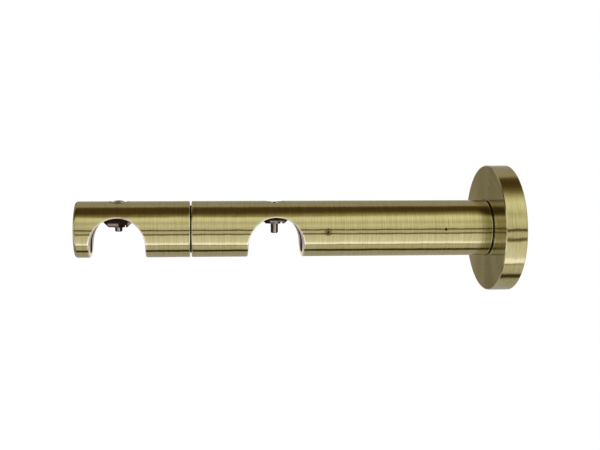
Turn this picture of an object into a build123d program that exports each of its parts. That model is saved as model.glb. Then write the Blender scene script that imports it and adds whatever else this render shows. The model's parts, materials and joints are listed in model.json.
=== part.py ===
from build123d import *
import os

# A curtain rod bracket: a round arm on a wall rosette, with two rod seats that open downwards.
# The origin is the middle of the rosette's back, on the wall. The arm runs towards -X, +Z is up.
# Lengths are in millimetres. A reach is a distance from the wall, a height is above the arm's axis.

# Places along the arm
front_seat_reach = 149.0
seat_spacing = 59.0
front_lip = 5.65
joint_past_rear_seat = 31.8
rear_core_behind_seat = 11.65

# Arm tubes and the piece that closes the front end
tube_radius = 10.65
tube_wall = 1.7
joint_gap = 0.5
rosette_gap = 0.3
front_end_round = 1.0
tube_end_round = 0.4
cap_thickness = 2.0
cap_edge_round = 0.25

# Rod seats
rod_radius = 10.0
rod_clearance = 0.35
seat_roof_height = 4.95
seat_mouth_round = 1.5
seat_mouth_overrun = 0.5
seat_edge_round = 0.3

# Die-cast cores inside the tubes
core_gap = 0.02
slot_width = 3.4
slot_past_seat = 4.0
pocket_depth = 1.95
pocket_clearance = 0.5
pocket_corner_round = 1.0

# Stud that joins the two cores
stud_radius = 3.0
stud_hole_web = 0.85
stud_hole_spare = 1.0
stud_end_chamfer = 0.6
stud_key_radius = 1.7
stud_key_depth = 3.0
thread_gap = 0.05

# Clamp screws: slotted raised countersunk heads in wide countersinks
screw_radius = 1.4
screw_length = 11.85
screw_hole_clearance = 0.3
screw_tip_chamfer = 0.3
head_radius = 2.8
dome_height = 0.8
head_slot_width = 0.9
head_slot_depth = 0.75
countersink_radius = 4.1
front_screw_lift = 0.9
rear_screw_lift = 0.07
front_slot_turn = 68.0
rear_slot_turn = -4.7

# Clamp nuts: plates with sloped ends that run in the groove of a rod
nut_length = 10.8
nut_width = 6.5
nut_height = 3.6
nut_end_slope = 1.9
nut_side_chamfer = 0.5
nut_hub_radius = 2.4
nut_hub_proud = 0.2
nut_relief_width = 0.5
nut_relief_depth = 0.8
front_nut_drop = 2.24
rear_nut_drop = 1.1

# Rosette and the wall plate inside it
rosette_radius = 24.0
rosette_thickness = 8.0
rosette_edge_chamfer = 0.3
rosette_rim_wall = 3.5
recess_depth = 5.2
plate_rim_gap = 0.3
plate_front_gap = 0.2
plate_bore_gap = 0.8
plate_groove_depth = 1.2
plate_groove_land = 0.4
wall_hole_radius = 2.3
wall_hole_countersink = 4.2
wall_hole_inset = 6.3

# Screw, washer and plug that hold the arm on the rosette
arm_screw_radius = 3.0
arm_screw_length = 16.0
arm_screw_clearance = 0.3
arm_head_radius = 5.25
arm_head_wall_gap = 0.5
arm_head_round = 0.8
arm_key_radius = 2.3
arm_key_depth = 1.8
washer_radius = 5.9
washer_thickness = 1.5
washer_gap = 0.15
washer_slit = 1.0
plug_length = 18.0

# Set screw that holds the rosette on the wall plate
grub_radius = 2.0
grub_recess = 0.3
grub_tip_radius = 0.5
grub_tip_gap = 0.05
grub_key_radius = 1.15
grub_key_depth = 1.2

# Values that follow from the ones above
bore_radius = tube_radius - tube_wall
core_radius = bore_radius - core_gap
seat_radius = rod_radius + rod_clearance
seat_centre_height = seat_roof_height - seat_radius
rear_seat_reach = front_seat_reach - seat_spacing
joint_reach = rear_seat_reach + joint_past_rear_seat
bracket_reach = front_seat_reach + seat_radius + front_lip
rear_core_end_reach = rear_seat_reach - seat_radius - rear_core_behind_seat
pocket_roof_height = seat_roof_height + pocket_depth
screw_hole_radius = screw_radius + screw_hole_clearance
cap_back_reach = bracket_reach - cap_thickness
front_tube_end_reach = joint_reach + joint_gap / 2
rear_tube_start_reach = joint_reach - joint_gap / 2
rear_tube_end_reach = rosette_thickness + rosette_gap
slot_half_length = seat_radius + slot_past_seat
stud_hole_depth = front_seat_reach - joint_reach - slot_half_length - stud_hole_web
stud_engagement = stud_hole_depth - stud_hole_spare
head_rim_height = tube_radius - (countersink_radius - head_radius)
head_cone_height = head_radius - screw_radius
recess_radius = rosette_radius - rosette_rim_wall
plate_thickness = recess_depth - plate_front_gap
plate_radius = recess_radius - plate_rim_gap
plate_bore_radius = washer_radius + plate_bore_gap
wall_hole_spacing = 2 * (plate_radius - wall_hole_inset)
washer_back_reach = recess_depth - washer_thickness
arm_head_height = washer_back_reach - arm_head_wall_gap
grub_reach = plate_thickness - plate_groove_land - plate_groove_depth
skin_tolerance = 0.01

os.makedirs("parts", exist_ok=True)


def save(builder, name):
    """Label a finished piece and write it as its own file."""
    builder.part.label = name
    export_step(builder.part, f"parts/{name}.step")


def on_outer_skin(edge):
    """True for an edge that lies all along the outside of a tube."""
    points = [edge.position_at(step / 4) for step in range(5)]
    return all(abs((point.Y**2 + point.Z**2) ** 0.5 - tube_radius) < skin_tolerance for point in points)


def seat_sketch(reach):
    """A rod seat from the side: a round roof, straight sides and rounded corners at the mouth."""
    mouth_drop = tube_radius + seat_centre_height + seat_mouth_overrun
    side_plane = Plane((-reach, 0, seat_centre_height), x_dir=(1, 0, 0), z_dir=(0, -1, 0))
    with BuildSketch(side_plane) as seat:
        Circle(seat_radius)
        Rectangle(2 * seat_radius, mouth_drop, align=(Align.CENTER, Align.MAX))
        with Locations((0, -mouth_drop)):
            Rectangle(3 * seat_radius, tube_radius, align=(Align.CENTER, Align.MAX))
        fillet(seat.vertices().sort_by_distance((0, -mouth_drop))[:2], seat_mouth_round)
    return seat.sketch


def cut_rod_seat(reach):
    """Cut a rod seat across the piece that is being built."""
    extrude(seat_sketch(reach), amount=tube_radius, both=True, mode=Mode.SUBTRACT)


def cut_screw_hole(reach):
    """Cut a countersunk hole from the top of the arm down to its axis."""
    with Locations((-reach, 0, tube_radius)):
        CounterSinkHole(
            screw_hole_radius, countersink_radius, depth=tube_radius, counter_sink_angle=90
        )


def round_tube(from_reach, to_reach):
    """A plain length of the arm's tube."""
    with BuildSketch(Plane.YZ.offset(-from_reach)) as ring:
        Circle(tube_radius)
        Circle(bore_radius, mode=Mode.SUBTRACT)
    extrude(ring.sketch, amount=from_reach - to_reach)


# Front tube: the short shell that carries the seat of the front rod
with BuildPart() as front_tube:
    round_tube(bracket_reach, front_tube_end_reach)
    outer_rims = front_tube.edges().filter_by(on_outer_skin).filter_by(GeomType.CIRCLE)
    fillet(outer_rims.sort_by(Axis.X)[0], front_end_round)
    outer_rims = front_tube.edges().filter_by(on_outer_skin).filter_by(GeomType.CIRCLE)
    fillet(outer_rims.sort_by(Axis.X)[-1], tube_end_round)
    cut_rod_seat(front_seat_reach)
    fillet(front_tube.edges(Select.LAST).filter_by(on_outer_skin), seat_edge_round)
    cut_screw_hole(front_seat_reach)
save(front_tube, "front_tube")

# Rear tube: the long shell between the joint and the rosette, with the seat of the rear rod
with BuildPart() as rear_tube:
    round_tube(rear_tube_start_reach, rear_tube_end_reach)
    fillet(rear_tube.edges().filter_by(on_outer_skin).filter_by(GeomType.CIRCLE), tube_end_round)
    cut_rod_seat(rear_seat_reach)
    fillet(rear_tube.edges(Select.LAST).filter_by(on_outer_skin), seat_edge_round)
    cut_screw_hole(rear_seat_reach)
save(rear_tube, "rear_tube")

# Front end cap: the disc that closes the open end of the front tube
with BuildPart() as front_end_cap:
    with BuildSketch(Plane.YZ.offset(-bracket_reach)):
        Circle(core_radius)
    extrude(amount=cap_thickness)
    fillet(front_end_cap.edges().sort_by(Axis.X)[0], cap_edge_round)
save(front_end_cap, "front_end_cap")

# Cores: the castings that back up both tubes, with a slot below and a pocket above each seat
core_spans = (
    ("front", front_seat_reach, cap_back_reach, joint_reach),
    ("rear", rear_seat_reach, joint_reach, rear_core_end_reach),
)
for side, seat_reach, start_reach, end_reach in core_spans:
    with BuildPart() as core:
        with BuildSketch(Plane.YZ.offset(-start_reach)):
            Circle(core_radius)
        extrude(amount=start_reach - end_reach)
        cut_rod_seat(seat_reach)
        cut_screw_hole(seat_reach)
        with BuildSketch(Plane.XY):
            with Locations((-seat_reach, 0)):
                RectangleRounded(
                    nut_length + 2 * pocket_clearance,
                    nut_width + 2 * pocket_clearance,
                    pocket_corner_round,
                )
        extrude(amount=pocket_roof_height, mode=Mode.SUBTRACT)
        with BuildSketch(Plane.XY.offset(seat_roof_height)):
            with Locations((-seat_reach, 0)):
                Rectangle(2 * slot_half_length, slot_width)
        extrude(amount=-(seat_roof_height + tube_radius), mode=Mode.SUBTRACT)
        with BuildSketch(Plane.YZ.offset(-joint_reach)):
            Circle(stud_radius + thread_gap)
        extrude(amount=stud_hole_depth, both=True, mode=Mode.SUBTRACT)
    save(core, f"{side}_core")

# Connector stud: the threaded rod, with a hexagon key socket, that joins the two cores
with BuildPart() as connector_stud:
    with BuildSketch(Plane.YZ.offset(-joint_reach)):
        Circle(stud_radius)
    extrude(amount=stud_engagement, both=True)
    chamfer(connector_stud.edges().filter_by(GeomType.CIRCLE), stud_end_chamfer)
    with BuildSketch(Plane.YZ.offset(-joint_reach - stud_engagement)):
        RegularPolygon(stud_key_radius, 6)
    extrude(amount=stud_key_depth, mode=Mode.SUBTRACT)
save(connector_stud, "connector_stud")

# Clamp screws and nuts: one screw from above in each seat, with a plate nut below the pocket's roof
clamp_sets = (
    ("front", front_seat_reach, front_screw_lift, front_slot_turn, front_nut_drop),
    ("rear", rear_seat_reach, rear_screw_lift, rear_slot_turn, rear_nut_drop),
)
for side, seat_reach, screw_lift, slot_turn, nut_drop in clamp_sets:
    rim_height = head_rim_height + screw_lift
    top_height = rim_height + dome_height
    tip_height = top_height - screw_length
    nut_bottom_height = pocket_roof_height - nut_drop - nut_height
    with BuildPart() as clamp_screw:
        with BuildSketch(Plane.XZ.shift_origin((-seat_reach, 0, 0))):
            with BuildLine():
                Line((0, top_height), (0, tip_height))
                Line((0, tip_height), (screw_radius - screw_tip_chamfer, tip_height))
                Line(
                    (screw_radius - screw_tip_chamfer, tip_height),
                    (screw_radius, tip_height + screw_tip_chamfer),
                )
                Line(
                    (screw_radius, tip_height + screw_tip_chamfer),
                    (screw_radius, rim_height - head_cone_height),
                )
                Line((screw_radius, rim_height - head_cone_height), (head_radius, rim_height))
                TangentArc((0, top_height), (head_radius, rim_height), tangent=(1, 0))
            make_face()
        revolve(axis=Axis((-seat_reach, 0, 0), (0, 0, 1)))
        with BuildSketch(Plane.XY.offset(top_height)):
            with Locations(Location((-seat_reach, 0), slot_turn)):
                Rectangle(head_slot_width, 3 * head_radius)
        extrude(amount=-head_slot_depth, mode=Mode.SUBTRACT)
    save(clamp_screw, f"{side}_clamp_screw")

    with BuildPart() as clamp_nut:
        with BuildSketch(Plane.XY.offset(nut_bottom_height)):
            with Locations((-seat_reach, 0)):
                Rectangle(nut_length, nut_width)
        extrude(amount=nut_height)
        bottom_edges = clamp_nut.faces().sort_by(Axis.Z)[0].edges()
        chamfer(bottom_edges.filter_by(Axis.Y), nut_end_slope)
        bottom_edges = clamp_nut.faces().sort_by(Axis.Z)[0].edges()
        chamfer(bottom_edges.filter_by(Axis.X), nut_side_chamfer)
        with BuildSketch(Plane.XY.offset(nut_bottom_height)):
            with Locations((-seat_reach, 0)):
                Rectangle(nut_hub_radius + nut_relief_width, nut_width, align=(Align.MIN, Align.CENTER))
                Circle(nut_hub_radius, mode=Mode.SUBTRACT)
        extrude(amount=nut_relief_depth, mode=Mode.SUBTRACT)
        with BuildSketch(Plane.XY.offset(nut_bottom_height - nut_hub_proud)):
            with Locations((-seat_reach, 0)):
                Circle(nut_hub_radius)
        extrude(amount=nut_hub_proud + nut_relief_depth)
        with BuildSketch(Plane.XY.offset(nut_bottom_height - nut_hub_proud)):
            with Locations((-seat_reach, 0)):
                Circle(screw_radius + thread_gap)
        extrude(amount=nut_hub_proud + nut_height, mode=Mode.SUBTRACT)
    save(clamp_nut, f"{side}_clamp_nut")

# Rear plug: the threaded plug in the wall end of the rear tube
with BuildPart() as rear_plug:
    with BuildSketch(Plane.YZ.offset(-rosette_thickness)):
        Circle(core_radius)
        Circle(arm_screw_radius + thread_gap, mode=Mode.SUBTRACT)
    extrude(amount=-plug_length)
save(rear_plug, "rear_plug")

# Rosette: the turned cup that covers the wall plate
with BuildPart() as rosette:
    with BuildSketch(Plane.YZ):
        Circle(rosette_radius)
    extrude(amount=-rosette_thickness)
    chamfer(rosette.edges().filter_by(GeomType.CIRCLE), rosette_edge_chamfer)
    with BuildSketch(Plane.YZ):
        Circle(recess_radius)
    extrude(amount=-recess_depth, mode=Mode.SUBTRACT)
    with BuildSketch(Plane.YZ):
        Circle(arm_screw_radius + arm_screw_clearance)
    extrude(amount=-rosette_thickness, mode=Mode.SUBTRACT)
    with BuildSketch(Plane.XY.offset(-rosette_radius)):
        with Locations((-grub_reach, 0)):
            Circle(grub_radius + thread_gap)
    extrude(amount=rosette_radius - recess_radius + plate_rim_gap, mode=Mode.SUBTRACT)
save(rosette, "rosette")

# Wall plate: the disc that is screwed to the wall, with a groove around its rim for the set screw
with BuildPart() as wall_plate:
    with BuildSketch(Plane.XZ):
        with BuildLine():
            Polyline(
                (0, plate_bore_radius),
                (0, plate_radius),
                (-(grub_reach - plate_groove_depth), plate_radius),
                (-grub_reach, plate_radius - plate_groove_depth),
                (-(grub_reach + plate_groove_depth), plate_radius),
                (-plate_thickness, plate_radius),
                (-plate_thickness, plate_bore_radius),
                close=True,
            )
        make_face()
    revolve(axis=Axis.X)
    front_plane = Plane((-plate_thickness, 0, 0), x_dir=(0, 0, 1), z_dir=(-1, 0, 0))
    with Locations(front_plane):
        with GridLocations(wall_hole_spacing, 0, 2, 1):
            CounterSinkHole(wall_hole_radius, wall_hole_countersink, counter_sink_angle=90)
save(wall_plate, "wall_plate")

# Lock washer: the split ring under the head of the arm screw
with BuildPart() as lock_washer:
    with BuildSketch(Plane.YZ.offset(-washer_back_reach)):
        Circle(washer_radius)
        Circle(arm_screw_radius + washer_gap, mode=Mode.SUBTRACT)
        Rectangle(washer_slit, 2 * washer_radius, align=(Align.CENTER, Align.MIN), mode=Mode.SUBTRACT)
    extrude(amount=-washer_thickness)
save(lock_washer, "lock_washer")

# Arm screw: the screw from the back of the rosette into the rear plug
with BuildPart() as arm_screw:
    with BuildSketch(Plane.YZ.offset(-washer_back_reach)):
        Circle(arm_head_radius)
    extrude(amount=arm_head_height)
    fillet(arm_screw.edges().filter_by(GeomType.CIRCLE).sort_by(Axis.X)[-1], arm_head_round)
    with BuildSketch(Plane.YZ.offset(-washer_back_reach)):
        Circle(arm_screw_radius)
    extrude(amount=-arm_screw_length)
    with BuildSketch(Plane.YZ.offset(-washer_back_reach + arm_head_height)):
        RegularPolygon(arm_key_radius, 6)
    extrude(amount=-arm_key_depth, mode=Mode.SUBTRACT)
save(arm_screw, "arm_screw")

# Rosette set screw: the pointed screw up through the bottom of the rosette's rim
with BuildPart() as rosette_set_screw:
    tip_depth = plate_radius - plate_groove_depth + grub_tip_radius + grub_tip_gap
    shoulder_depth = tip_depth + grub_radius - grub_tip_radius
    with BuildSketch(Plane.XZ.shift_origin((-grub_reach, 0, 0))):
        with BuildLine():
            Polyline(
                (0, -tip_depth),
                (grub_tip_radius, -tip_depth),
                (grub_radius, -shoulder_depth),
                (grub_radius, -(rosette_radius - grub_recess)),
                (0, -(rosette_radius - grub_recess)),
                close=True,
            )
        make_face()
    revolve(axis=Axis((-grub_reach, 0, 0), (0, 0, 1)))
    with BuildSketch(Plane.XY.offset(-(rosette_radius - grub_recess))):
        with Locations((-grub_reach, 0)):
            RegularPolygon(grub_key_radius, 6)
    extrude(amount=grub_key_depth, mode=Mode.SUBTRACT)
save(rosette_set_screw, "rosette_set_screw")
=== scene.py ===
import json
import math

import bmesh
import bpy
from mathutils import Euler, Matrix, Vector

# The looks of the curtain rod bracket. Lengths are in metres and angles in degrees, unless a name
# says otherwise. The origin is on the wall, the arm runs towards -X, +Z is up. A range is two
# values: where something begins and where it is complete.

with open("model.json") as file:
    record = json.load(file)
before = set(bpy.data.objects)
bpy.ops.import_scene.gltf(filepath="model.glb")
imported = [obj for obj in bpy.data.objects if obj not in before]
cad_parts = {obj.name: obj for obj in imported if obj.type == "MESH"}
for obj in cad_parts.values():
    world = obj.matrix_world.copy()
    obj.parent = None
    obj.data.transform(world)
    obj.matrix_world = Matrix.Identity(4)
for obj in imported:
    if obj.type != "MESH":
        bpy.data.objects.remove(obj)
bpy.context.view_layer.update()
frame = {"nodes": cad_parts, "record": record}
record = frame["record"]

# Camera, fitted to the outline of the bracket in the photograph
image_width = 600
image_height = 450
sensor_width_mm = 36.0
camera_place = Vector((-0.1207, -0.3362, 0.0370))
camera_turn_right = 3.56
camera_tilt = -3.65
camera_roll = 0.085
camera_focal_pixels = 887.7
camera_axis_pixel = Vector((248.8, 188.05))
camera_clip_start = 0.01

# Studio
white = (1.0, 1.0, 1.0)
white_background = 1.0
plain_level = 0.6
floor_drop = 0.30
floor_half_size = 6.0
floor_colour = (0.5, 0.5, 0.5)
floor_glow = 0.43
lamp_strength = 2.0
lamp_softness = 8.0
lamp_turns = (-20.0, -15.0)

# Finish of the brass
brass_light = (0.600, 0.545, 0.262)
brass_deep = (0.470, 0.410, 0.165)
brass_scratch = (0.330, 0.275, 0.090)
# The paler tone of the painted sheen on square faces
brass_fan_sheen = (0.780, 0.720, 0.430)
# The cream of the painted edge highlights
brass_edge_highlight = (0.880, 0.830, 0.620)
# The dark of the real marks and of the painted shade
brass_dirt_and_shade = (0.050, 0.035, 0.015)
brass_anisotropy = 0.95
brass_grain_turns = 0.25
brass_smooth = 0.13
brass_rough = 0.17
brass_wave_scale = 130.0
brass_wave_height = 0.00009

# Brushing of the brass: the pitch and length of its lines, and the shares of the lines, the finer
# lines and the clouds in its tone
brush_line_pitch = 0.00036
brush_line_length = 0.011
brush_fine_pitch = 0.00013
brush_fine_length = brush_line_length / 2
brush_cloud_scale = 90.0
brush_shares = (0.45, 0.42, 0.13)
brush_tone_range = (0.38, 0.62)
brush_rough_range = (0.3, 0.7)
brush_bump_strength = 0.12
brush_bump_height = 0.00002
scratch_length = brush_line_length / 3
scratch_range = (0.66, 0.76)
scratch_share = 0.6

# A painted sheen: the fan of paler rays on the brass faces that are square to the arm
square_face_slope = 0.97
fan_scale = 1.9
fan_range = (0.40, 0.60)
fan_share = 0.45

# Painted highlights on edges of the brass: around the rod seats, at ends along the arm (place and half
# width), and a little on the front edge of the rosette's rim
seat_places = (-0.149, -0.090)
seat_height = -0.0054
seat_radius = 0.01035
highlight_edge_width = 0.00032
highlight_ends = (
    (-0.1218, 0.00050),
    (-0.0085, 0.00030),
)
highlight_end_softness = 0.00005
highlight_rim_radius = 0.0235
highlight_rim_reach = -0.0074
highlight_rim_share = 0.15

# The ringed dark mark on the rear tube: radii, how dark its ring is, and how much less its inside
ring_mark_place = Vector((-0.07085, -0.01064, -0.0003))
ring_mark_radii = (0.00125, 0.00080)
ring_mark_shares = (0.62, 0.28)
ring_mark_softness = 0.0003

# Dark spots on the brass, place and radius: the middle of the ringed mark, the speck on the rear
# tube, and a painted shadow in the countersink beside the front screw
dark_spots = (
    (ring_mark_place, 0.00048),
    (Vector((-0.02635, -0.01064, 0.00075)), 0.00030),
    (Vector((-0.02635, -0.01064, 0.00035)), 0.00030),
    # Painted shadow in the countersink beside the front screw
    (Vector((-0.1524, 0.0021, 0.0103)), 0.0009),
)
dark_spot_softness = 0.0002

# Painted shade in the corner between the arm and the rosette's face
corner_shade_place = -0.0081
corner_shade_range = (0.0111, 0.0107)
corner_shade_share = 0.8

# Grain of the plain metals: the shares of the grain and of larger patches in the tone, and the
# size of the patches, in grains
grain_shares = (0.6, 0.4)
grain_patch_size = 8
grain_tone_range = (0.36, 0.64)
grain_rough_range = (0.3, 0.7)
grain_rough_change = 0.05
grain_bump_strength = 0.4

# Painted shade on the cast cores: the slots, the pockets and the ends at the joint
core_slot_range = (0.0030, 0.0022)
core_pocket_height = 0.00497
joint_place = -0.1218
joint_dark_half_width = 0.0012

# Painted highlights on the browned nuts: place along the arm, half width and height of the upper edge
nut_highlight_patches = (
    (-0.1509, 0.0018, 0.00245),
    (-0.1445, 0.0007, 0.00290),
    (-0.0895, 0.0022, 0.00330),
    (-0.0867, 0.0001, 0.00330),
    (-0.0855, 0.0002, 0.00330),
)
nut_patch_softness = 0.0004

# Painted shade on the clamp screws' shanks, by the place along the arm from a screw's axis. A line to
# the right of the middle is left without it, as a painted highlight.
shank_top = 0.0080
shank_reach = 0.001
shank_shades = (
    (-0.00062, 1.00),
    (-0.00048, 0.45),
    (0.00008, 0.40),
    (0.00018, 0.00),
    (0.00042, 0.00),
    (0.00056, 1.00),
)

# Painted shade on the front screw's head
head_shade_place = Vector((-0.1491, -0.0025, 0.0108))
head_shade_radius = 0.0012
head_shade_softness = 0.0005
head_shade_share = 0.9

# A photo tent around the bracket, which only reflections show. A direction's roll is its angle
# around the arm's axis: 0 at the camera's side, 90 overhead. The panels are roll and colour.
tent_panels = (
    (-171, (0.80, 0.71, 0.56)),
    (-150, (0.46, 0.45, 0.50)),
    (-112, (0.51, 0.50, 0.52)),
    (-101, (0.52, 0.50, 0.48)),
    (-88, (0.64, 0.62, 0.62)),
    (-66, (0.76, 0.75, 0.82)),
    (-61, (1.66, 1.68, 2.30)),
    (-55, (1.66, 1.68, 2.30)),
    (-50, (1.08, 1.07, 1.30)),
    (-22, (0.94, 0.93, 1.00)),
    (-10, (0.78, 0.75, 0.78)),
    (8, (0.82, 0.80, 0.80)),
    (18, (0.98, 0.97, 0.98)),
    (31, (0.78, 0.76, 0.72)),
    (40, (1.02, 1.02, 1.00)),
    (49, (1.12, 1.12, 1.10)),
    (57, (0.92, 0.90, 0.82)),
    (66, (0.40, 0.36, 0.22)),
    (76, (0.16, 0.115, 0.05)),
    (84, (0.095, 0.062, 0.028)),
    (97, (0.095, 0.062, 0.028)),
    (104, (0.14, 0.10, 0.06)),
    (111, (0.46, 0.42, 0.40)),
    (159, (0.40, 0.38, 0.40)),
    (171, (0.80, 0.71, 0.56)),
)

# The tent's dark seams: roll, half width and colour
tent_seams = (
    (-94.4, 6.4, (0.050, 0.040, 0.011)),
    (-64.6, 1.5, (0.260, 0.210, 0.110)),
    (-16.3, 3.0, (0.185, 0.145, 0.070)),
    (0.6, 2.7, (0.130, 0.095, 0.035)),
)
tent_seam_softness = 2.0

# The dark panel overhead begins lower at the left and hangs higher at the far right: the shift in
# roll, the range of a direction's X for it, and the ranges of roll where it comes in and goes out
tent_shifts = (
    (9.0, (0.18, 0.05), (40.0, 60.0), (100.0, 80.0)),
    (-8.0, (0.335, 0.35), (40.0, 60.0), (135.0, 115.0)),
)

# The tent's shaded strips on the left, in front of and behind the bracket: the share of light that
# is left by a direction's X, and the range of its Y over which the shade ends
tent_shades = (
    (((-0.50, 1.00), (-0.44, 0.25), (-0.30, 0.25), (-0.22, 1.00)), (-0.1, 0.1)),
    (((-0.34, 0.165), (-0.18, 1.00)), (0.85, 0.70)),
)


# Camera
def make_camera():
    """A camera at the photograph's place, with the frame shifted as the photograph is cropped."""
    camera_data = bpy.data.cameras.new("camera")
    camera_data.sensor_width = sensor_width_mm
    camera_data.lens = camera_focal_pixels * sensor_width_mm / image_width
    camera_data.shift_x = (image_width / 2 - camera_axis_pixel.x) / image_width
    camera_data.shift_y = (camera_axis_pixel.y - image_height / 2) / image_width
    camera_data.clip_start = camera_clip_start
    camera = bpy.data.objects.new("camera", camera_data)
    bpy.context.scene.collection.objects.link(camera)
    heading = Matrix.Rotation(math.radians(-camera_turn_right), 4, "Z")
    upright = Matrix.Rotation(math.radians(90 + camera_tilt), 4, "X")
    roll = Matrix.Rotation(math.radians(camera_roll), 4, "Z")
    camera.matrix_world = Matrix.Translation(camera_place) @ heading @ upright @ roll
    bpy.context.scene.camera = camera


# Shader helpers
def new_material(name):
    """A material with an empty node tree, its tree and its output."""
    material = bpy.data.materials.new(name)
    material.use_nodes = True
    tree = material.node_tree
    tree.nodes.clear()
    output = tree.nodes.new("ShaderNodeOutputMaterial")
    return material, tree, output


def feed(tree, socket, value):
    """Link a socket to an input, or set the input to a number or an RGB triple."""
    if isinstance(value, bpy.types.NodeSocket):
        tree.links.new(value, socket)
    elif socket.type == "RGBA":
        socket.default_value = (*value, 1.0)
    else:
        socket.default_value = value


def math_node(tree, operation, *values):
    """A Math node whose inputs are sockets or numbers; returns its output."""
    node = tree.nodes.new("ShaderNodeMath")
    node.operation = operation
    for socket, value in zip(node.inputs, values):
        feed(tree, socket, value)
    return node.outputs[0]


def chain(tree, operation, first, *others):
    """Several sockets or numbers joined one after the other by one operation."""
    for value in others:
        first = math_node(tree, operation, first, value)
    return first


def combine(tree, x, y, z):
    """A vector from three sockets or numbers."""
    node = tree.nodes.new("ShaderNodeCombineXYZ")
    for socket, value in zip(node.inputs, (x, y, z)):
        feed(tree, socket, value)
    return node.outputs[0]


def axes_of(tree, vector):
    """The X, Y and Z of a vector."""
    node = tree.nodes.new("ShaderNodeSeparateXYZ")
    tree.links.new(vector, node.inputs[0])
    return tuple(node.outputs)


def noise(tree, vector, scale, detail, w=None):
    """A noise texture between 0 and 1; with w it is four-dimensional."""
    node = tree.nodes.new("ShaderNodeTexNoise")
    node.inputs["Scale"].default_value = scale
    node.inputs["Detail"].default_value = detail
    tree.links.new(vector, node.inputs["Vector"])
    if w is not None:
        node.noise_dimensions = "4D"
        tree.links.new(w, node.inputs["W"])
    return node.outputs["Fac"]


def spread(tree, value, low, high, to_low=0.0, to_high=1.0):
    """Map a value's range to another one, clamped."""
    node = tree.nodes.new("ShaderNodeMapRange")
    node.inputs["From Min"].default_value = low
    node.inputs["From Max"].default_value = high
    node.inputs["To Min"].default_value = to_low
    node.inputs["To Max"].default_value = to_high
    tree.links.new(value, node.inputs["Value"])
    return node.outputs["Result"]


def blend_colours(tree, factor, first, second):
    """Mix two colours, each a socket or an RGB triple, by a factor socket."""
    node = tree.nodes.new("ShaderNodeMix")
    node.data_type = "RGBA"
    tree.links.new(factor, node.inputs["Factor"])
    colour_inputs = [socket for socket in node.inputs if socket.type == "RGBA"]
    for socket, value in zip(colour_inputs, (first, second)):
        feed(tree, socket, value)
    return [socket for socket in node.outputs if socket.type == "RGBA"][0]


def colour_ramp(tree, value, low, high, stops):
    """A ramp of colours over a value from low to high, from (value, colour) stops."""
    node = tree.nodes.new("ShaderNodeValToRGB")
    tree.links.new(spread(tree, value, low, high), node.inputs["Fac"])
    elements = node.color_ramp.elements
    while len(elements) < len(stops):
        elements.new(0.5)
    for element, (place, colour) in zip(elements, stops):
        element.position = (place - low) / (high - low)
        element.color = (*colour, 1.0)
    return node.outputs["Color"]


def share_ramp(tree, value, low, high, stops):
    """A ramp of shares over a value from low to high, from (value, share) stops."""
    grey_stops = [(place, (share, share, share)) for place, share in stops]
    return colour_ramp(tree, value, low, high, grey_stops)


def weighted_sum(tree, values, shares):
    """The sum of several sockets, each times its share."""
    return chain(tree, "ADD", *(math_node(tree, "MULTIPLY", *pair) for pair in zip(values, shares)))


def near_point(tree, position, place, radius, softness):
    """1 within a radius of a place on the object, fading to 0 over the softness."""
    node = tree.nodes.new("ShaderNodeVectorMath")
    node.operation = "DISTANCE"
    tree.links.new(position, node.inputs[0])
    node.inputs[1].default_value = place
    return spread(tree, node.outputs["Value"], radius, radius + softness, 1.0, 0.0)


def away_from(tree, value, place):
    """How far a value is from a place."""
    return math_node(tree, "ABSOLUTE", math_node(tree, "SUBTRACT", value, place))


def within(tree, value, place, half_width, softness):
    """1 where a value is within a half width of a place, fading to 0 over the softness."""
    return spread(tree, away_from(tree, value, place), half_width, half_width + softness, 1.0, 0.0)


def length_of(tree, first, second):
    """The length of a flat vector from its two sides."""
    squares = [math_node(tree, "POWER", side, 2.0) for side in (first, second)]
    return math_node(tree, "SQRT", math_node(tree, "ADD", *squares))


def bump(tree, height, strength, distance, normal=None):
    """A normal that is tilted by a height, on top of another bump's normal where one is given."""
    node = tree.nodes.new("ShaderNodeBump")
    feed(tree, node.inputs["Height"], height)
    feed(tree, node.inputs["Strength"], strength)
    feed(tree, node.inputs["Distance"], distance)
    if normal is not None:
        tree.links.new(normal, node.inputs["Normal"])
    return node.outputs["Normal"]


def square_faces(tree):
    """1 on the faces that are turned square to the arm, 0 elsewhere."""
    normal_x = axes_of(tree, tree.nodes.new("ShaderNodeNewGeometry").outputs["Normal"])[0]
    return math_node(tree, "GREATER_THAN", math_node(tree, "ABSOLUTE", normal_x), square_face_slope)


# Brass
def brush_lines(tree, axes, ring, pitch, length, detail):
    """Noise in thin lines around the arm's axis, fine along the arm and across its radius."""
    along, across, up = axes
    measures = ((along, pitch), (ring, pitch), (across, length), (up, length))
    x, y, z, w = [math_node(tree, "DIVIDE", *measure) for measure in measures]
    return noise(tree, combine(tree, x, y, z), scale=1.0, detail=detail, w=w)


def brushed_colour(tree, position, axes, ring, lines):
    """The brass before edges and marks: brushed lines, finer lines and clouds, scratches, and a painted
    sheen in rays on square faces.
    """
    fine_lines = brush_lines(tree, axes, ring, brush_fine_pitch, brush_fine_length, detail=1.0)
    clouds = noise(tree, position, brush_cloud_scale, detail=3.0)
    tone = weighted_sum(tree, (lines, fine_lines, clouds), brush_shares)
    colour = blend_colours(tree, spread(tree, tone, *brush_tone_range), brass_deep, brass_light)

    scratches = brush_lines(tree, axes, ring, brush_line_pitch, scratch_length, detail=3.0)
    scratches = math_node(tree, "MULTIPLY", spread(tree, scratches, *scratch_range), scratch_share)
    colour = blend_colours(tree, scratches, colour, brass_scratch)

    # Painted sheen: paler rays around the axis on the square faces
    around = [math_node(tree, "DIVIDE", axis, ring) for axis in axes[1:]]
    rays = spread(tree, noise(tree, combine(tree, *around, 0.0), fan_scale, detail=1.0), *fan_range)
    rays = chain(tree, "MULTIPLY", rays, square_faces(tree), fan_share)
    return blend_colours(tree, rays, colour, brass_fan_sheen)


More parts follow.
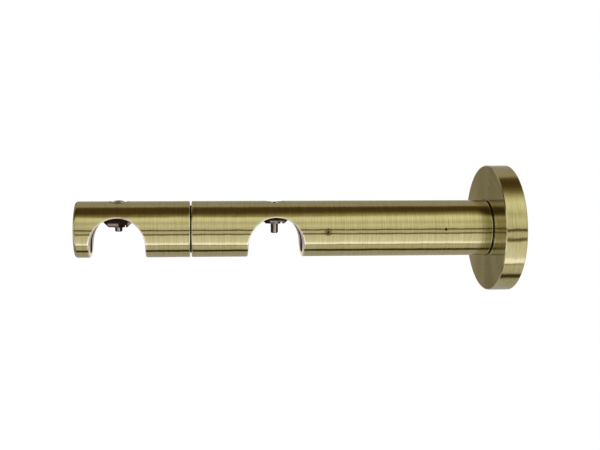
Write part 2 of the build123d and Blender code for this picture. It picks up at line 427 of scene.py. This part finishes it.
def edge_highlights(tree, axes, ring):
    """Painted highlights: 1 on narrow bands around the rod seats and at ends along the arm, and a little
    on the rim.
    """
    along, _, up = axes
    above = math_node(tree, "MAXIMUM", math_node(tree, "SUBTRACT", up, seat_height), 0.0)
    bands = []
    for seat_place in seat_places:
        from_seat = length_of(tree, math_node(tree, "SUBTRACT", along, seat_place), above)
        bands.append(within(tree, from_seat, seat_radius, highlight_edge_width, highlight_edge_width))
    outside = math_node(tree, "GREATER_THAN", ring, highlight_rim_radius)
    in_front = math_node(tree, "LESS_THAN", along, highlight_rim_reach)
    bands.append(chain(tree, "MULTIPLY", outside, in_front, highlight_rim_share))
    for place, half_width in highlight_ends:
        bands.append(within(tree, along, place, half_width, highlight_end_softness))
    return chain(tree, "MAXIMUM", *bands)


def brass_marks_and_shade(tree, position, axes, ring):
    """How dark the brass is with marks and painted shade: the ringed mark, the spots with one painted
    shadow, and painted shade in the rosette's corner.
    """
    discs = [
        near_point(tree, position, ring_mark_place, radius, ring_mark_softness)
        for radius in ring_mark_radii
    ]
    outer, inner = [math_node(tree, "MULTIPLY", *pair) for pair in zip(discs, ring_mark_shares)]
    spots = [near_point(tree, position, *spot, dark_spot_softness) for spot in dark_spots]
    # Painted shade on the rosette's face around the arm
    on_face = math_node(tree, "GREATER_THAN", axes[0], corner_shade_place)
    corner = spread(tree, ring, *corner_shade_range, 0.0, corner_shade_share)
    corner = math_node(tree, "MULTIPLY", corner, on_face)
    return chain(tree, "MAXIMUM", math_node(tree, "SUBTRACT", outer, inner), *spots, corner)


def brushed_brass():
    """Antique brass, brushed around the arm's axis: reflections smear along the arm only."""
    material, tree, output = new_material("antique_brass")
    shader = tree.nodes.new("ShaderNodeBsdfPrincipled")
    shader.inputs["Metallic"].default_value = 1.0
    shader.inputs["Anisotropic"].default_value = brass_anisotropy
    shader.inputs["Anisotropic Rotation"].default_value = brass_grain_turns
    tangent = tree.nodes.new("ShaderNodeTangent")
    tangent.direction_type = "RADIAL"
    tangent.axis = "X"
    tree.links.new(tangent.outputs[0], shader.inputs["Tangent"])

    position = tree.nodes.new("ShaderNodeTexCoord").outputs["Object"]
    axes = axes_of(tree, position)
    ring = length_of(tree, *axes[1:])
    lines = brush_lines(tree, axes, ring, brush_line_pitch, brush_line_length, detail=2.0)
    colour = brushed_colour(tree, position, axes, ring, lines)
    # Painted highlights on the brass edges
    colour = blend_colours(tree, edge_highlights(tree, axes, ring), colour, brass_edge_highlight)
    # Real marks, and painted shade in the countersink and the rosette's corner
    colour = blend_colours(tree, brass_marks_and_shade(tree, position, axes, ring), colour, brass_dirt_and_shade)
    tree.links.new(colour, shader.inputs["Base Color"])
    roughness = spread(tree, lines, *brush_rough_range, brass_smooth, brass_rough)
    tree.links.new(roughness, shader.inputs["Roughness"])

    round_faces = math_node(tree, "SUBTRACT", 1.0, square_faces(tree))
    waves = noise(tree, position, brass_wave_scale, detail=2.0)
    waves = bump(tree, waves, round_faces, brass_wave_height)
    normal = bump(tree, lines, brush_bump_strength, brush_bump_height, waves)
    tree.links.new(normal, shader.inputs["Normal"])
    tree.links.new(shader.outputs[0], output.inputs["Surface"])
    return material


# Plain metals
def core_recess_shade(tree, position):
    """Painted shade: 1 in the cores' slots and pockets and at the joint, where shade falls; 0 on the
    seat faces.
    """
    along, across, up = axes_of(tree, position)
    slot = spread(tree, math_node(tree, "ABSOLUTE", across), *core_slot_range)
    pocket = math_node(tree, "GREATER_THAN", up, core_pocket_height)
    joint = math_node(tree, "LESS_THAN", away_from(tree, along, joint_place), joint_dark_half_width)
    return chain(tree, "MAXIMUM", slot, pocket, joint)


def browned_faces_and_highlights(tree, position):
    """1 where a nut is browned and dark, partly as painted shade on its upper faces; 0 on its painted
    highlight patches.
    """
    along, _, up = axes_of(tree, position)
    patches = []
    for place, half_width, upper_edge in nut_highlight_patches:
        beside = within(tree, along, place, half_width, nut_patch_softness)
        edge_range = (upper_edge + nut_patch_softness / 2, upper_edge - nut_patch_softness / 2)
        below = spread(tree, up, *edge_range)
        patches.append(math_node(tree, "MULTIPLY", beside, below))
    return math_node(tree, "SUBTRACT", 1.0, chain(tree, "MAXIMUM", *patches))


def screw_painted_shade(tree, position):
    """Painted shade on a clamp screw: on its shank beside the bright line, and on one head."""
    along, _, up = axes_of(tree, position)
    shades = []
    for seat_place in seat_places:
        stops = [(seat_place + side, share) for side, share in shank_shades]
        shades.append(share_ramp(tree, along, seat_place - shank_reach, seat_place + shank_reach, stops))
    on_shank = math_node(tree, "LESS_THAN", up, shank_top)
    shank = math_node(tree, "MULTIPLY", chain(tree, "MINIMUM", *shades), on_shank)
    # Painted shade on the front screw's head
    painted_head_shade = near_point(tree, position, head_shade_place, head_shade_radius, head_shade_softness)
    return math_node(tree, "MAXIMUM", shank, math_node(tree, "MULTIPLY", painted_head_shade, head_shade_share))


def plain_metal(name, light, deep, rough, grain_scale, grain_height,
                metallic=1.0, dark=None, dark_mask=None):
    """A metal with a fine grain in colour, roughness and surface, dark and dull where a mask says so."""
    material, tree, output = new_material(name)
    shader = tree.nodes.new("ShaderNodeBsdfPrincipled")
    shader.inputs["Metallic"].default_value = metallic
    shader.inputs["Specular IOR Level"].default_value = 0.0
    position = tree.nodes.new("ShaderNodeTexCoord").outputs["Object"]
    grain = noise(tree, position, grain_scale, detail=4.0)
    patches = noise(tree, position, grain_scale / grain_patch_size, detail=2.0)
    tone = weighted_sum(tree, (grain, patches), grain_shares)
    colour = blend_colours(tree, spread(tree, tone, *grain_tone_range), deep, light)
    if dark_mask:
        # The mask gives painted shade, and on the nuts also their browning
        darkness = dark_mask(tree, position)
        undarkened = math_node(tree, "SUBTRACT", 1.0, darkness)
        colour = blend_colours(tree, darkness, colour, dark)
        tree.links.new(math_node(tree, "MULTIPLY", undarkened, metallic), shader.inputs["Metallic"])
    tree.links.new(colour, shader.inputs["Base Color"])
    smooth_to_rough = (rough - grain_rough_change, rough + grain_rough_change)
    roughness = spread(tree, grain, *grain_rough_range, *smooth_to_rough)
    tree.links.new(roughness, shader.inputs["Roughness"])
    tree.links.new(bump(tree, grain, grain_bump_strength, grain_height), shader.inputs["Normal"])
    tree.links.new(shader.outputs[0], output.inputs["Surface"])
    return material


def cast_core():
    """The pale, machined casting of the cores, with painted shade in its recesses."""
    return plain_metal(
        "cast_core",
        light=(0.80, 0.71, 0.68),
        deep=(0.64, 0.56, 0.54),
        rough=0.45,
        grain_scale=2600.0,
        grain_height=0.00003,
        metallic=0.4,
        # Painted shade in the slots, the pockets and the joint
        dark=(0.022, 0.012, 0.008),
        dark_mask=core_recess_shade,
    )


def zinc_steel():
    """Zinc plated steel, for the fixings inside the arm and behind the rosette."""
    return plain_metal(
        "zinc_steel",
        light=(0.72, 0.72, 0.70),
        deep=(0.58, 0.58, 0.57),
        rough=0.30,
        grain_scale=1800.0,
        grain_height=0.00001,
    )


def screw_steel():
    """The plating of the clamp screws, with painted shade on the shanks and one head."""
    return plain_metal(
        "screw_steel",
        light=(0.92, 0.87, 0.74),
        deep=(0.74, 0.68, 0.55),
        rough=0.24,
        grain_scale=2200.0,
        grain_height=0.00001,
        # Painted shade on the shanks and one head
        dark=(0.055, 0.040, 0.025),
        dark_mask=screw_painted_shade,
    )


def browned_nut():
    """Browned steel, near black, partly as painted shade, with patches of painted highlight."""
    return plain_metal(
        "browned_nut",
        light=(0.54, 0.47, 0.41),
        deep=(0.32, 0.27, 0.22),
        rough=0.24,
        grain_scale=1500.0,
        grain_height=0.00002,
        # Near black: the browning and painted shade around the painted highlights
        dark=(0.040, 0.022, 0.014),
        dark_mask=browned_faces_and_highlights,
    )


def dress_nodes():
    """Give every CAD node the material of its slot."""
    finishes = {
        "antique_brass": brushed_brass(),
        "cast_core": cast_core(),
        "zinc_steel": zinc_steel(),
        "screw_steel": screw_steel(),
        "browned_nut": browned_nut(),
    }
    for part in record["subparts"]:
        node = frame["nodes"][part["node"]]
        node.data.materials.clear()
        node.data.materials.append(finishes[part["material_slot"]])


# Studio
def background(tree, colour, strength):
    """A background of one colour and strength, each a socket or a value."""
    node = tree.nodes.new("ShaderNodeBackground")
    feed(tree, node.inputs["Color"], colour)
    feed(tree, node.inputs["Strength"], strength)
    return node.outputs[0]


def mix_shaders(tree, factor, first, second):
    """The first shader where a factor is 0 and the second where it is 1."""
    node = tree.nodes.new("ShaderNodeMixShader")
    for socket, value in zip(node.inputs, (factor, first, second)):
        tree.links.new(value, socket)
    return node.outputs[0]


def tent_colour(tree, side, roll):
    """The colour of the tent's panels and seams, by a direction's X and roll."""
    panel_roll = roll
    for full_shift, sides, rolls_in, rolls_out in tent_shifts:
        shift = spread(tree, side, *sides, 0.0, math.radians(full_shift))
        for rolls in (rolls_in, rolls_out):
            share = spread(tree, roll, *(math.radians(edge) for edge in rolls))
            shift = math_node(tree, "MULTIPLY", shift, share)
        panel_roll = math_node(tree, "ADD", panel_roll, shift)
    stops = [(math.radians(place), colour) for place, colour in tent_panels]
    colour = colour_ramp(tree, panel_roll, -math.pi, math.pi, stops)
    for place, half_width, seam_colour in tent_seams:
        measures = (place, half_width - tent_seam_softness / 2, tent_seam_softness)
        seam = within(tree, roll, *(math.radians(measure) for measure in measures))
        colour = blend_colours(tree, seam, colour, seam_colour)
    return colour


def tent_share(tree, side, depth):
    """The share of light that the tent's shaded strips leave, by a direction's X and Y."""
    shares = []
    for stops, unshaded_range in tent_shades:
        shade = share_ramp(tree, side, -1.0, 1.0, stops)
        shares.append(math_node(tree, "MAXIMUM", shade, spread(tree, depth, *unshaded_range)))
    return chain(tree, "MINIMUM", *shares)


def make_studio():
    """The camera sees a white backdrop, the metal sees the tent, and all is lit at a plain level."""
    world = bpy.data.worlds.new("studio")
    bpy.context.scene.world = world
    world.use_nodes = True
    tree = world.node_tree
    tree.nodes.clear()
    output = tree.nodes.new("ShaderNodeOutputWorld")
    side, depth, height = axes_of(tree, tree.nodes.new("ShaderNodeTexCoord").outputs["Generated"])
    roll = math_node(tree, "ARCTAN2", height, math_node(tree, "MULTIPLY", depth, -1.0))
    tent = background(tree, tent_colour(tree, side, roll), tent_share(tree, side, depth))

    ray = tree.nodes.new("ShaderNodeLightPath").outputs
    backdrop = mix_shaders(tree, ray["Is Glossy Ray"], background(tree, white, white_background), tent)
    seeing_rays = (ray["Is Camera Ray"], ray["Is Glossy Ray"], ray["Is Transmission Ray"])
    sees_backdrop = chain(tree, "MAXIMUM", *seeing_rays)
    both = mix_shaders(tree, sees_backdrop, background(tree, white, plain_level), backdrop)
    tree.links.new(both, output.inputs["Surface"])


def make_floor():
    """A white floor far below the bracket, which still takes its shadow."""
    floor_mesh = bpy.data.meshes.new("floor")
    floor_builder = bmesh.new()
    bmesh.ops.create_grid(floor_builder, x_segments=1, y_segments=1, size=floor_half_size)
    floor_builder.to_mesh(floor_mesh)
    floor_builder.free()
    floor = bpy.data.objects.new("floor", floor_mesh)
    bpy.context.scene.collection.objects.link(floor)
    floor.location = (0.0, 0.0, -floor_drop)
    floor.visible_glossy = False
    material, tree, output = new_material("floor_white")
    paper = tree.nodes.new("ShaderNodeBsdfDiffuse")
    feed(tree, paper.inputs["Color"], floor_colour)
    glow = tree.nodes.new("ShaderNodeEmission")
    seen = tree.nodes.new("ShaderNodeLightPath").outputs["Is Camera Ray"]
    tree.links.new(math_node(tree, "MULTIPLY", seen, floor_glow), glow.inputs["Strength"])
    both = tree.nodes.new("ShaderNodeAddShader")
    tree.links.new(paper.outputs[0], both.inputs[0])
    tree.links.new(glow.outputs[0], both.inputs[1])
    tree.links.new(both.outputs[0], output.inputs["Surface"])
    floor.data.materials.append(material)


def make_lamp():
    """A soft lamp high above that gives the floor its shadow."""
    lamp_data = bpy.data.lights.new("soft_lamp", "SUN")
    lamp_data.energy = lamp_strength
    lamp_data.angle = math.radians(lamp_softness)
    lamp = bpy.data.objects.new("soft_lamp", lamp_data)
    bpy.context.scene.collection.objects.link(lamp)
    lamp.rotation_euler = Euler((*(math.radians(turn) for turn in lamp_turns), 0.0))
    lamp.visible_glossy = False


bpy.context.scene.view_settings.view_transform = "Standard"
make_camera()
make_studio()
make_floor()
make_lamp()
dress_nodes()
